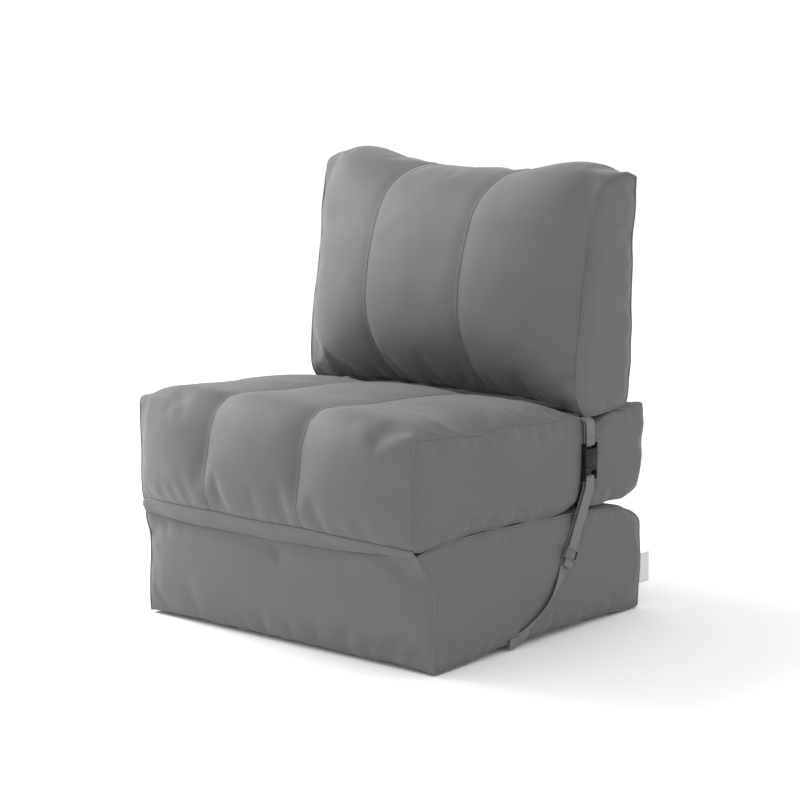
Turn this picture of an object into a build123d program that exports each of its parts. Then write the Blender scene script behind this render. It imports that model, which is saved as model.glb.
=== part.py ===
"""Fold-out bean bag chair: four filled cushions, fabric hinges, zips and two buckled side straps."""

import os
from math import cos, radians, sin

from build123d import *

os.makedirs("parts", exist_ok=True)

# Driving dimensions, in millimetres. Lengths front to back are measured here from the base's front
# face, and every piece is moved by CENTRE_Y at the end, so that the origin is under the middle.
WIDTH = 700
BASE_DEPTH = 630
BASE_HEIGHT = 214
SEAT_FRONT = -52
SEAT_SWELL = 34
SEAT_REAR = 442
SEAT_BOTTOM = 222
SEAT_TOP = 424
SEAT_CROWN = 24
BOLSTER_FRONT = 450
BOLSTER_REAR = 636
BOLSTER_TOP = 390
BACK_FRONT = 420
BACK_THICKNESS = 160
BACK_BOTTOM = 398
BACK_TOP = 866
BACK_LEAN = 11
BACK_SWELL = 80
LOBES = 3
LOBE_CROWN = 14

COVER_WALL = 1.2
LINER_WALL = 0.6
LAYER_GAP = 0.3

HINGE_FRONT = (-56, 224)
HINGE_REAR = (442, 402)
STRIP_WALL = 1.2

ZIP_TAPE = 12
ZIP_TAPE_WALL = 0.8
ZIP_COIL = 1.6
ZIP_GAP = 1.4
ZIP_LENGTH = 580
ZIP_SLOT_LENGTH = 560
ZIP_SLOT = 16

WEBBING = 26
WEBBING_WALL = 1.6
STRAP_X = 354
STRAP_FOOT = 3
BUCKLE_WIDTH = 37
BUCKLE_DEPTH = 12
BUCKLE_RAIL = 2.75
BUCKLE_BAR = 4
BUCKLE_PLACE = (441, 308)
SOCKET_MOUTH = 32
SOCKET_BAR = 38
PLUG_BAR = -24
PRONG_DEPTH = 6
BAND_GAP = 4.4
ADJUSTER_HALF = 11
ADJUSTER_BAR = 3
RUN_TOP = (441, 286)
RUN_BEND = (441, 268)
RUN_END = (372, 128)
ADJUSTER_UP = 26
LABEL_OUT = 38
LABEL_TALL = 60
LABEL_BOTTOM = 46
LABEL_WALL = 1.2
ANCHOR_HIGH = 16
ANCHOR_DEEP = 24
ANCHOR_LONG = 36

CENTRE_Y = 284
REACH = 1800


def keep(name, shape):
    """Puts a piece in the object's own frame and writes it."""
    export_step(Pos(0, -CENTRE_Y, 0) * shape, f"parts/{name}.step")


def profile(points, radii):
    """A closed outline with a round corner at each point."""
    return make_face(FilletPolyline(*points, radius=radii, close=True))


# Cushions: a side outline, right across the chair, trimmed by outlines seen from other sides.
FROM_FRONT = Plane.XZ.offset(REACH / 2)
FROM_TOP = Plane.XY
ALONG_Y = (0, 1, 0)
ALONG_Z = (0, 0, 1)


def lobed(half, back, swell, crown):
    """An outline whose front edge, at y = 0, swells to -y in a row of lobes between its two ends."""

    def front(x):
        return -swell * (1 - (x / half) ** 2)

    step = 2 * half / LOBES
    edges = []
    for lobe in range(LOBES):
        start = -half + lobe * step
        middle = start + step / 2
        end = start + step
        top = (middle, front(middle) - crown)
        edges.append(ThreePointArc((start, front(start)), top, (end, front(end))))
    rear = Polyline((half, 0), (half, back), (-half, back), (-half, 0))
    return make_face(Curve() + edges + rear)


def cushion(side, trims, inset):
    """The solid inside a side outline and every trim outline, each drawn in by the inset."""
    side = offset(side, -inset) if inset else side
    solid = extrude(Plane.YZ.offset(-WIDTH) * side, 2 * WIDTH).solid()
    for plane, outline, way in trims:
        outline = offset(outline, -inset) if inset else outline
        solid = (solid & extrude(plane * outline, REACH, dir=way).solid()).solid()
    return solid


def cover_set(name, side, trims, slot):
    """Writes a cushion's cover, its inner liner and its filling, each clear of the next."""
    liner = COVER_WALL + LAYER_GAP
    filling = liner + LINER_WALL + LAYER_GAP
    cover = cushion(side, trims, 0) - cushion(side, trims, COVER_WALL)
    keep(f"{name}_cover", (cover - slot).solid())
    inner = cushion(side, trims, liner) - cushion(side, trims, liner + LINER_WALL)
    keep(f"{name}_liner", inner.solid())
    keep(f"{name}_filling", cushion(side, trims, filling))


# Zips: two tapes with a row of coil each, a slider whose neck runs between the rows, and end stops.


def zip_slot(place):
    """The opening that a zip closes, cut through a cover's rear wall."""
    return place * Box(ZIP_SLOT_LENGTH, 4 * COVER_WALL, ZIP_SLOT)


def zip_set(name, place):
    """Writes a zip that lies along X at a place on a rear wall, facing +Y."""
    rows = []
    for side in (-1, 1):
        tape_z = side * (ZIP_GAP + ZIP_TAPE) / 2
        tape = Pos(0, ZIP_TAPE_WALL / 2, tape_z) * Box(ZIP_LENGTH, ZIP_TAPE_WALL, ZIP_TAPE)
        coil_z = side * (ZIP_GAP + ZIP_COIL) / 2
        coil = Pos(0, ZIP_COIL / 2, coil_z) * Box(ZIP_LENGTH - 24, ZIP_COIL, ZIP_COIL)
        rows.append((tape + coil).solid())
    keep(f"{name}_zip_tape", place * Compound(rows))
    top = Pos(0, 2.5, 0) * Box(11, 1, 8)
    bottom = Pos(0, -0.65, 0) * Box(11, 0.9, 8)
    neck = Pos(0, 0.9, 0) * Box(4, 3, 1)
    slider = fillet(top.edges().filter_by(Axis.Y), 2) + neck + bottom
    keep(f"{name}_zip_slider", place * Pos(ZIP_LENGTH / 2 - 30, 0, 0) * slider.solid())
    stop = Box(3, 1.6, 5)
    ends = [Pos(end * (ZIP_LENGTH / 2 - 9), ZIP_TAPE_WALL + 0.8, 0) * stop for end in (-1, 1)]
    keep(f"{name}_zip_stops", place * Compound([end.solid() for end in ends]))


# Base: flat underneath, lower at the back, where the bolster's wedge opens.

base_side = profile(
    [(0, 0), (0, BASE_HEIGHT), (500, 216), (602, 192), (BASE_DEPTH, 166), (BASE_DEPTH, 0)],
    [6, 16, 60, 20, 20, 6],
)
base_cross = Pos(0, BASE_HEIGHT / 2, 0) * Rectangle(WIDTH, 2 * BASE_HEIGHT)
BASE_ZIP = Pos(0, BASE_DEPTH, 90)
cover_set("base", base_side, [(FROM_FRONT, base_cross, ALONG_Y)], zip_slot(BASE_ZIP))
zip_set("base", BASE_ZIP)

# Seat: round front edge, three lobes on top, a straight rear face.

seat_side = profile(
    [
        (SEAT_FRONT - 4, SEAT_BOTTOM),
        (SEAT_FRONT - 58, 318),
        (SEAT_FRONT - 20, SEAT_TOP + SEAT_CROWN),
        (200, SEAT_TOP + SEAT_CROWN - 6),
        (SEAT_REAR, SEAT_TOP - 20),
        (SEAT_REAR, SEAT_BOTTOM),
    ],
    [16, 70, 60, 200, 22, 14],
)
seat_lobes = lobed(WIDTH / 2, SEAT_TOP, SEAT_CROWN - LOBE_CROWN, LOBE_CROWN)
seat_cross = Pos(0, SEAT_TOP, 0) * Rot(0, 0, 180) * seat_lobes
seat_plan = Pos(0, SEAT_FRONT, 0) * lobed(WIDTH / 2, BASE_DEPTH, SEAT_SWELL, LOBE_CROWN)
seat_trims = [(FROM_FRONT, seat_cross, ALONG_Y), (FROM_TOP, seat_plan, ALONG_Z)]
SEAT_ZIP = Pos(0, SEAT_REAR, 300)
cover_set("seat", seat_side, seat_trims, zip_slot(SEAT_ZIP))
zip_set("seat", SEAT_ZIP)

# Bolster: a soft block with large round corners, open to the base at its rear edge.

bolster_side = profile(
    [
        (BOLSTER_FRONT, 219),
        (BOLSTER_FRONT + 18, BOLSTER_TOP),
        (BOLSTER_REAR, BOLSTER_TOP),
        (BOLSTER_REAR - 4, 222),
    ],
    [18, 34, 34, 34],
)
bolster_cross = Pos(0, BOLSTER_TOP, 0) * Rectangle(WIDTH, 2 * BOLSTER_TOP)
BOLSTER_ZIP = Pos(0, BOLSTER_REAR - 1.95, 306) * Rot(-1.4, 0, 0)
cover_set("bolster", bolster_side, [(FROM_FRONT, bolster_cross, ALONG_Y)], zip_slot(BOLSTER_ZIP))
zip_set("bolster", BOLSTER_ZIP)

# Backrest: leans back, and its front swells in three lobes between the side seams.

slope = sin(radians(BACK_LEAN)) / cos(radians(BACK_LEAN))
back_side = profile(
    [
        (450, BACK_BOTTOM + 6),
        (BACK_FRONT - 34, BACK_BOTTOM + 74),
        (BACK_FRONT - 76, BACK_BOTTOM + 216),
        (BACK_FRONT - 22, BACK_TOP - 66),
        (BACK_FRONT + 66, BACK_TOP + 16),
        (BACK_FRONT + 191, BACK_TOP),
        (BACK_FRONT + 186, 620),
        (BACK_FRONT + BACK_THICKNESS + 6, BACK_BOTTOM + 8),
    ],
    [10, 60, 160, 70, 40, 34, 300, 34],
)
back_plan = lobed(WIDTH / 2, BASE_DEPTH, BACK_SWELL, LOBE_CROWN)
back_plane = Plane((0, BACK_FRONT - slope * 230, BACK_BOTTOM - 200))
lean_way = (0, sin(radians(BACK_LEAN)), cos(radians(BACK_LEAN)))
BACK_ZIP = Pos(0, BACK_FRONT + 172.95, 480) * Rot(-5.34, 0, 0)
cover_set("backrest", back_side, [(back_plane, back_plan, lean_way)], zip_slot(BACK_ZIP))
zip_set("backrest", BACK_ZIP)

# Strips sewn between the cushions. The two hinge strips stop just short of their hinge lines.


def strip(name, start, end, length):
    """A flat strip of cover cloth between two lines that run across the chair."""
    band = trace(Line(start, end), STRIP_WALL)
    keep(name, extrude(Plane.YZ * band, length / 2, both=True).solid())


strip("front_hinge_strip", (0, 217), (HINGE_FRONT[0] + 6, HINGE_FRONT[1] - 5.6), WIDTH - 30)
strip("rear_hinge_strip", (HINGE_REAR[0] - 4, 399.8), (HINGE_REAR[0] + 6.5, 401.6), WIDTH - 30)
strip("bolster_strip", (BOLSTER_FRONT + 22, 217.5), (BOLSTER_FRONT + 60, 217.5), WIDTH - 60)

# Side straps. In the strap's own frame X is across the webbing, Y is up along it and Z is outwards.
# Every piece is drawn for the right-hand strap and mirrored for the left.


def both_sides(name, shape):
    """Writes a right-hand piece and its mirrored left-hand twin."""
    keep(f"{name}_right", shape)
    keep(f"{name}_left", mirror(shape, Plane.YZ))


def slab(across, along, outwards):
    """A block between two limits on each axis of the strap's frame."""
    size = [high - low for low, high in (across, along, outwards)]
    middle = [(high + low) / 2 for low, high in (across, along, outwards)]
    return Pos(*middle) * Box(*size)


def ladder(low, high, bar_low):
    """Two side rails and a round cross bar, which webbing is looped around."""
    edge = BUCKLE_WIDTH / 2
    inner = edge - BUCKLE_RAIL
    middle = Pos(0, bar_low + BUCKLE_BAR / 2, BUCKLE_DEPTH / 2)
    bar = middle * Rot(0, 90, 0) * Cylinder(BUCKLE_BAR / 2, 2 * inner + 2)
    for side in ((-edge, -inner), (inner, edge)):
        bar += slab(side, (low, high), (0, BUCKLE_DEPTH))
    return bar


def band_loop(bar_low, up):
    """The half turn of webbing around a cross bar, open towards +Y (up = 1) or -Y (up = -1)."""
    middle = bar_low + BUCKLE_BAR / 2
    ring = Circle(BAND_GAP / 2 + WEBBING_WALL) - Circle(BAND_GAP / 2)
    half = ring & (Pos(0, -up * 5, 0) * Rectangle(20, 10))
    plane = Plane((-WEBBING / 2, middle, BUCKLE_DEPTH / 2), x_dir=(0, 0, -1), z_dir=(1, 0, 0))
    return extrude(plane * half, WEBBING, dir=(1, 0, 0))


buckle = Plane((STRAP_X, *BUCKLE_PLACE), x_dir=(0, 1, 0), z_dir=(1, 0, 0))
layer_in = (BUCKLE_DEPTH - BAND_GAP) / 2 - WEBBING_WALL
layer_out = (BUCKLE_DEPTH + BAND_GAP) / 2

# Socket: a flat mouth with a window in each side for the prongs' shoulders.
half_width = BUCKLE_WIDTH / 2
socket = slab((-half_width, half_width), (0, SOCKET_MOUTH), (0, BUCKLE_DEPTH))
socket = fillet(socket.edges().filter_by(Axis.Z), 3) - slab((-14.5, 14.5), (-1, 25), (2, 10))
socket = socket - slab((-20, 20), (9, 21), (3, 9)) + ladder(SOCKET_MOUTH - 2, 42, SOCKET_BAR)
both_sides("buckle_socket", buckle * socket.solid())

# Plug: a shoulder, a middle tongue and a ladder for the strap.
plug = slab((-half_width, half_width), (-9, -0.4), (0, BUCKLE_DEPTH))
plug = plug + slab((-3, 3), (-0.4, 22), (3, 9)) + ladder(-26, -8, PLUG_BAR)
both_sides("buckle_plug", buckle * plug.solid())

# Prongs: sprung arms whose shoulders fill the socket's windows.
arm = make_face(
    Polyline(
        [(9.2, 0.2), (12.8, 0.2), (12.8, 10), (17.6, 11.5), (16, 18), (12.4, 22), (9.2, 22)],
        close=True,
    )
)
prong = Pos(0, 0, (BUCKLE_DEPTH - PRONG_DEPTH) / 2) * extrude(arm, PRONG_DEPTH)
both_sides("buckle_prong_rear", buckle * prong.solid())
both_sides("buckle_prong_front", buckle * mirror(prong, Plane.YZ).solid())

# Tab: a loop of webbing from the rear hinge seam down around the socket's bar.
tab_top = HINGE_REAR[1] - BUCKLE_PLACE[1]
tab = band_loop(SOCKET_BAR, 1)
for low in (layer_in, layer_out):
    rise = (SOCKET_BAR + BUCKLE_BAR / 2, tab_top)
    tab += slab((-WEBBING / 2, WEBBING / 2), rise, (low, low + WEBBING_WALL))
both_sides("strap_tab", buckle * tab.solid())

# Strap: one length of webbing, from the plug's bar down the side to the base's bottom edge, and
# doubled back on itself as far as the three-bar slide.
route = FilletPolyline(RUN_TOP, RUN_BEND, RUN_END, (326, 66), (219, 6), radius=[60, 90, 110])
doubled = FilletPolyline(RUN_TOP, RUN_BEND, RUN_END, radius=[60])


def band(path, low):
    """A flat layer of webbing along a path up the chair's side."""
    flat = Plane.YZ.offset(STRAP_X + low) * trace(path, WEBBING)
    return extrude(flat, WEBBING_WALL, dir=(1, 0, 0))


strap = band(route, layer_in) + band(doubled, layer_out) + buckle * band_loop(PLUG_BAR, -1)
above_floor = Pos(STRAP_X, 300, 400 + STRAP_FOOT) * Box(60, 600, 800)
both_sides("strap_webbing", (strap & above_floor).solid())

# Three-bar slide: its middle bar lies between the layers, its end bars over the outer one.
run = Vector(*RUN_BEND) - Vector(*RUN_END)
run = run / run.length
place = Vector(*RUN_END) + run * ADJUSTER_UP
adjuster_plane = Plane((STRAP_X, place.X, place.Y), x_dir=(0, run.Y, -run.X), z_dir=(1, 0, 0))
rail_low = layer_in + WEBBING_WALL + 0.4
inner = half_width - BUCKLE_RAIL
bar_low = layer_out + WEBBING_WALL + 0.3
adjuster = slab((-half_width, half_width), (-2, 2), (rail_low, layer_out - 0.4))
for side in ((-half_width, -inner), (inner, half_width)):
    adjuster += slab(side, (-ADJUSTER_HALF, ADJUSTER_HALF), (rail_low, BUCKLE_DEPTH))
for end in (-ADJUSTER_HALF, ADJUSTER_HALF - ADJUSTER_BAR):
    adjuster += slab((-half_width, half_width), (end, end + ADJUSTER_BAR), (bar_low, BUCKLE_DEPTH))
both_sides("strap_adjuster", adjuster_plane * adjuster.solid())

# Anchor: a folded patch of webbing, sewn to the base's bottom edge, which the strap's foot meets.
patch_depth = layer_in + STRAP_X - WIDTH / 2 - 0.3
fold = Rectangle(patch_depth, ANCHOR_DEEP)
fold -= Rectangle(patch_depth - 2 * WEBBING_WALL, ANCHOR_DEEP - 2 * WEBBING_WALL)
fold = Pos(WIDTH / 2 + patch_depth / 2, ANCHOR_HIGH, 0) * fold
both_sides("strap_anchor", extrude(Plane.XZ.offset(-240) * fold, ANCHOR_LONG).solid())

# Label: a blank folded tag in the rear right-hand seam of the base.
label = Pos(WIDTH / 2 - 4, BASE_DEPTH + LABEL_OUT / 2, LABEL_BOTTOM + LABEL_TALL / 2)
keep("side_label", label * Box(LABEL_WALL, LABEL_OUT, LABEL_TALL))
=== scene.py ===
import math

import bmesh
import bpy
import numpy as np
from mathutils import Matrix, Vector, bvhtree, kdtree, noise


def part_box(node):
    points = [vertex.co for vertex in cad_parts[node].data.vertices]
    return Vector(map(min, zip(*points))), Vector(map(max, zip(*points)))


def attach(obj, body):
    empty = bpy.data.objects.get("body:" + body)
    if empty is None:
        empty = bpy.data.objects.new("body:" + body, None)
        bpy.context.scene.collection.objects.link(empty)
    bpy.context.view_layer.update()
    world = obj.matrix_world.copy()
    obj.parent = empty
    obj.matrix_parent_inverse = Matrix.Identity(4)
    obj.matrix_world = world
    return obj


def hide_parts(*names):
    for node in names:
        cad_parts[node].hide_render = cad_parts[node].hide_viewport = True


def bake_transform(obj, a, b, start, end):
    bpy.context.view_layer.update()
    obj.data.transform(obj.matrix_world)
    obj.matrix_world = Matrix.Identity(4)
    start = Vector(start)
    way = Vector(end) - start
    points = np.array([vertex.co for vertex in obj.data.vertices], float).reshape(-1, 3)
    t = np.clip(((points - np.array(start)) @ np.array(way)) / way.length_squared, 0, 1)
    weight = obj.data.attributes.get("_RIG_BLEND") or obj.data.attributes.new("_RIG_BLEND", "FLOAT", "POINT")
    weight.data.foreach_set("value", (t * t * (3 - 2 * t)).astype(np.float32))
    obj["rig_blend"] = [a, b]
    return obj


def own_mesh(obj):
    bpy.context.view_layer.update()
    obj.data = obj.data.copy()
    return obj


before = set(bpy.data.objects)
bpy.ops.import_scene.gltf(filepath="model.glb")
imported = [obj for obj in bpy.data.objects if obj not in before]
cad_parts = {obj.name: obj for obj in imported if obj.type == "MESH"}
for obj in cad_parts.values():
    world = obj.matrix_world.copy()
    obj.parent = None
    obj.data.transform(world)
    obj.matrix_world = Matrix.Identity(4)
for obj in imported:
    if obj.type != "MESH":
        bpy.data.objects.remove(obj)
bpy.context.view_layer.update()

# %% [markdown]
# # A fold-out bean bag chair
# The chair is four filled cushions sewn into one length of cloth: a base on the floor, a seat and a
# bolster on top of it, and a backrest. The CAD model gives every piece its place, and this script
# dresses those pieces in cloth, webbing, plastic and metal. Nothing is moved from where the CAD
# model put it, so the first thing to note down is the box that the CAD model fills.

CENTRE_Y = 284


def metres(points):
    """Points in millimetres, with y counted from the base's front face, as points in the frame."""
    points = np.asarray(points, float)
    return (points - np.array([0, CENTRE_Y, 0])) / 1000


# %% [markdown]
# ## The camera
# The chair stands turned about forty degrees, seen from a little above and from far away, so that
# its upright edges stay nearly parallel. A long lens does that: the camera is more than four metres
# off. It is made first, because everything after it is judged through it.

# %% Camera
LENS = 100
CAMERA_PLACE = (2671, -2875, 1076)
CAMERA_TURN = 39.82
CAMERA_DIP = 9.11

camera_data = bpy.data.cameras.new("camera")
camera_data.lens = LENS
camera_data.sensor_width = 36
camera = bpy.data.objects.new("camera", camera_data)
camera.location = metres(CAMERA_PLACE)
turn, dip = math.radians(CAMERA_TURN), math.radians(CAMERA_DIP)
look = Vector((-math.sin(turn) * math.cos(dip), math.cos(turn) * math.cos(dip), -math.sin(dip)))
camera.rotation_euler = look.to_track_quat("-Z", "Y").to_euler()
bpy.context.collection.objects.link(camera)
bpy.context.scene.camera = camera
print("camera", [round(v, 3) for v in camera.location])

# %% [markdown]
# ## Writing finishes as sums
# A finish is a small program made of nodes. It reads much better as arithmetic, so one class wraps a
# socket and turns `+` and `*` into Math nodes, also when the number comes first. Every other node
# comes from a single method, which sets the node's own options before its sockets.

# %% Sockets that can be added and multiplied


class Signal:
    """A number that changes over the surface."""

    def __init__(self, tree, socket):
        self.tree, self.socket = tree, socket

    def maths(self, operation, first, second):
        node = self.tree.nodes.new("ShaderNodeMath")
        node.operation = operation
        for socket, value in zip(node.inputs, (first, second)):
            plug(self.tree, socket, value)
        return Signal(self.tree, node.outputs[0])

    def __add__(self, other):
        return self.maths("ADD", self, other)

    def __radd__(self, other):
        return self.maths("ADD", other, self)

    def __mul__(self, other):
        return self.maths("MULTIPLY", self, other)

    def __rmul__(self, other):
        return self.maths("MULTIPLY", other, self)


def plug(tree, socket, value):
    """Links a signal to a socket, or sets the socket's own value."""
    if isinstance(value, Signal):
        tree.links.new(value.socket, socket)
    else:
        socket.default_value = value


class Graph:
    """A node tree with one way of adding nodes."""

    def __init__(self, tree):
        self.tree = tree

    def node(self, kind, options=None, **sockets):
        node = self.tree.nodes.new(kind)
        for name, value in (options or {}).items():
            setattr(node, name, value)
        for name, value in sockets.items():
            shown = name.replace("_", " ")
            socket = next(s for s in node.inputs if s.enabled and s.name == shown)
            plug(self.tree, socket, value)
        return node

    def out(self, node, name):
        socket = next(s for s in node.outputs if s.enabled and s.name == name)
        return Signal(self.tree, socket)


class Finish(Graph):
    """A material with one Principled shader; constants go straight onto the shader's own sockets."""

    def __init__(self, name, constants):
        self.material = bpy.data.materials.new(name)
        self.material.use_nodes = True
        super().__init__(self.material.node_tree)
        self.shader = self.tree.nodes["Principled BSDF"]
        for socket, value in constants.items():
            self.shader.inputs[socket].default_value = value
        coordinates = self.node("ShaderNodeTexCoord")
        self.place = self.out(coordinates, "Object")
        self.uv = self.out(coordinates, "UV")

    def stretched(self, vector, scale):
        """The coordinates drawn out along their axes, so that a pattern is longer one way."""
        mapping = self.node("ShaderNodeMapping", {"vector_type": "POINT"}, Vector=vector, Scale=scale)
        return self.out(mapping, "Vector")

    def cloud(self, vector, scale, detail=2):
        """Soft uneven patches, from 0 to 1."""
        texture = self.node("ShaderNodeTexNoise", {}, Vector=vector, Scale=scale, Detail=detail)
        return self.out(texture, "Fac")

    def ribs(self, vector, direction, scale):
        """Even ribs across one direction, from 0 to 1."""
        options = {"wave_type": "BANDS", "bands_direction": direction, "wave_profile": "SIN"}
        texture = self.node("ShaderNodeTexWave", options, Vector=vector, Scale=scale)
        return self.out(texture, "Fac")

    def mix(self, factor, low, high):
        """A colour between two, as the factor goes from 0 to 1."""
        node = self.node("ShaderNodeMix", {"data_type": "RGBA"}, Factor=factor, A=low, B=high)
        return self.out(node, "Result")

    def feed(self, **sockets):
        """Links values that change over the surface to the shader."""
        for name, value in sockets.items():
            plug(self.tree, self.shader.inputs[name.replace("_", " ")], value)

    def relief(self, height, strength, depth):
        """Bumps the surface by a height, with the depth in metres."""
        bump = self.node("ShaderNodeBump", {}, Height=height, Strength=strength, Distance=depth)
        self.feed(Normal=self.out(bump, "Normal"))


# %% [markdown]
# ## The cover cloth
# The cover is a plain-woven grey nylon with a soft, slightly oily sheen. Three things are layered:
# a weave of warp and weft threads, fine enough to be felt more than seen; slow clouds that make the
# grey a touch warmer or cooler and the gloss uneven, as handled nylon gets; and faint long creases
# left from packing. The threads are waves on the object's own coordinates, one along each axis, so
# the same finish works on every panel without unwrapping it.

# %% Cover cloth
GREY_LIGHT = (0.126, 0.126, 0.131, 1)
GREY_DARK = (0.098, 0.097, 0.100, 1)
LINER_LIGHT = (0.68, 0.68, 0.66, 1)
LINER_DARK = (0.55, 0.55, 0.54, 1)


def woven(name, dark, light, rough, thread):
    """A woven finish: threads along each axis, slow colour clouds and packing creases."""
    finish = Finish(name, {"Specular IOR Level": 0.3, "Sheen Weight": 0.15, "Sheen Roughness": 0.4})
    slow = finish.cloud(finish.place, 7)
    fibre = finish.cloud(finish.stretched(finish.place, (1, 1, 0.25)), 420)
    tone = slow * 0.7 + fibre * 0.3
    finish.feed(Base_Color=finish.mix(tone, dark, light))
    finish.feed(Roughness=rough - 0.08 + slow * 0.12 + fibre * 0.05)
    warp = finish.ribs(finish.place, "X", thread)
    weft = finish.ribs(finish.place, "Z", thread)
    cross = finish.ribs(finish.place, "Y", thread)
    crease = finish.cloud(finish.stretched(finish.place, (1, 1, 0.6)), 16, 4)
    finish.relief((warp + weft + cross) * 0.04 + crease * 0.5 + fibre * 0.05, 0.2, 0.004)
    return finish.material


cloth = woven("cover_nylon", GREY_DARK, GREY_LIGHT, 0.64, 340)
lining = woven("liner_cloth", LINER_DARK, LINER_LIGHT, 0.8, 420)
print("cloth finishes", cloth.name, lining.name)

# %% [markdown]
# ## Webbing, thread, plastic, metal, foam and the tag
# Webbing is woven in ribs that run along the strap, with a diagonal twill between them; its pattern
# follows the strap round its bends, so it reads the strap's own UV map. Buckles are moulded black
# acetal with a slight grain, the slide is a greyer plastic. Zip teeth and sliders are nickel-plated.
# The filling is shredded foam, which looks like a pale crumb.

# %% The other finishes
YARN_DARK = (0.11, 0.11, 0.115, 1)
YARN_LIGHT = (0.18, 0.18, 0.19, 1)

webbing_sheen = {"Specular IOR Level": 0.35, "Sheen Weight": 0.15, "Sheen Roughness": 0.5}
webbing = Finish("webbing", webbing_sheen)
across_ribs = webbing.ribs(webbing.stretched(webbing.uv, (1, 0, 0)), "X", 34)
twill = webbing.ribs(webbing.stretched(webbing.uv, (1, 1, 0)), "DIAGONAL", 130)
wear = webbing.cloud(webbing.place, 60)
webbing.feed(Base_Color=webbing.mix(twill * 0.5 + wear * 0.5, YARN_DARK, YARN_LIGHT))
webbing.feed(Roughness=0.55 + wear * 0.2)
webbing.relief(across_ribs * 0.6 + twill * 0.4, 0.5, 0.0006)

thread = Finish("sewing_thread", {"Specular IOR Level": 0.4, "Sheen Weight": 0.2})
strand = thread.cloud(thread.place, 900)
thread.feed(Base_Color=thread.mix(strand, YARN_DARK, (0.18, 0.18, 0.185, 1)))
thread.feed(Roughness=0.5 + strand * 0.2)


def moulded(name, dark, light, rough, gloss):
    """Moulded plastic: a fine spark-eroded grain and faint scuffs."""
    finish = Finish(name, {"Specular IOR Level": gloss})
    grain = finish.cloud(finish.place, 1600)
    scuff = finish.cloud(finish.stretched(finish.place, (1, 1, 0.2)), 120, 3)
    finish.feed(Base_Color=finish.mix(scuff, dark, light))
    finish.feed(Roughness=rough + scuff * 0.16)
    finish.relief(grain, 0.15, 0.0003)
    return finish.material


black_dark, black_light = (0.006, 0.0065, 0.008, 1), (0.016, 0.017, 0.020, 1)
acetal = moulded("black_acetal", black_dark, black_light, 0.42, 0.15)
slide_dark, slide_light = (0.085, 0.087, 0.092, 1), (0.13, 0.132, 0.138, 1)
slide_plastic = moulded("grey_acetal", slide_dark, slide_light, 0.32, 0.35)

nickel = Finish("nickel_plate", {"Metallic": 1.0})
rub = nickel.cloud(nickel.place, 260, 3)
nickel.feed(Base_Color=nickel.mix(rub, (0.34, 0.34, 0.35, 1), (0.55, 0.55, 0.56, 1)))
nickel.feed(Roughness=0.25 + rub * 0.25)

tape = Finish("zip_tape", {"Specular IOR Level": 0.3, "Sheen Weight": 0.1})
herring = tape.ribs(tape.stretched(tape.place, (1, 0, 1)), "DIAGONAL", 420)
tape.feed(Base_Color=tape.mix(herring, (0.12, 0.12, 0.125, 1), (0.17, 0.17, 0.175, 1)))
tape.feed(Roughness=0.7 + herring * 0.1)
tape.relief(herring, 0.3, 0.0004)

foam = Finish("foam_crumb", {"Specular IOR Level": 0.2})
crumb = foam.cloud(foam.place, 130, 5)
foam.feed(Base_Color=foam.mix(crumb, (0.52, 0.44, 0.28, 1), (0.82, 0.76, 0.60, 1)))
foam.feed(Roughness=0.85 + crumb * 0.1)
foam.relief(crumb, 0.8, 0.004)

satin_tag = Finish("tag_satin", {"Specular IOR Level": 0.45, "Sheen Weight": 0.1})
satin = satin_tag.ribs(satin_tag.place, "Z", 520)
satin_tag.feed(Base_Color=satin_tag.mix(satin, (0.55, 0.56, 0.59, 1), (0.66, 0.67, 0.70, 1)))
satin_tag.feed(Roughness=0.45 + satin * 0.15)
satin_tag.relief(satin, 0.2, 0.0003)
print("finishes", len(bpy.data.materials))

# %% [markdown]
# ## Small mesh helpers
# A piece is always made as plain points and faces in the frame, with its object left at the origin.
# Outlines are given by a few points each. Cutting the corners of such an outline again and again
# (Chaikin's way) turns it into a smooth curve that keeps its two ends, and walking along it in equal
# steps gives the rows that a woven panel needs.

# %% Outlines and pieces


def smooth_line(points, steps, rounds=3):
    """A smooth curve through an outline's middle points, resampled to equal steps."""
    line = np.asarray(points, float)
    for _ in range(rounds):
        cut = np.stack([line[:-1] * 0.75 + line[1:] * 0.25, line[:-1] * 0.25 + line[1:] * 0.75], 1)
        line = np.concatenate([line[:1], cut.reshape(-1, line.shape[1])[1:-1], line[-1:]])
    length = np.concatenate([[0], np.cumsum(np.linalg.norm(np.diff(line, axis=0), axis=1))])
    places = np.linspace(0, length[-1], steps + 1)
    return np.stack([np.interp(places, length, line[:, axis]) for axis in range(line.shape[1])], 1)


def piece(name, points, faces, material):
    """A new object at the origin, from points in metres."""
    mesh = bpy.data.meshes.new(name)
    mesh.from_pydata([tuple(point) for point in points], [], faces)
    mesh.materials.append(material)
    thing = bpy.data.objects.new(name, mesh)
    bpy.context.collection.objects.link(thing)
    tidy(thing)
    return thing


def tidy(thing, smooth=True):
    """Merges doubled points, turns every face outwards and sets the shading."""
    shape = bmesh.new()
    shape.from_mesh(thing.data)
    bmesh.ops.remove_doubles(shape, verts=shape.verts, dist=1e-6)
    bmesh.ops.recalc_face_normals(shape, faces=shape.faces)
    for face in shape.faces:
        face.smooth = smooth
    shape.to_mesh(thing.data)
    shape.free()


def evaluated(thing, name):
    """The object's mesh with its modifiers, as a plain mesh."""
    bpy.context.view_layer.update()
    graph = bpy.context.evaluated_depsgraph_get()
    mesh = bpy.data.meshes.new_from_object(thing.evaluated_get(graph))
    mesh.name = name
    return mesh


def positions(mesh):
    """Every point of a mesh, as one row each."""
    points = np.zeros(len(mesh.vertices) * 3, np.float32)
    mesh.vertices.foreach_get("co", points)
    return points.reshape(-1, 3).astype(float)


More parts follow.
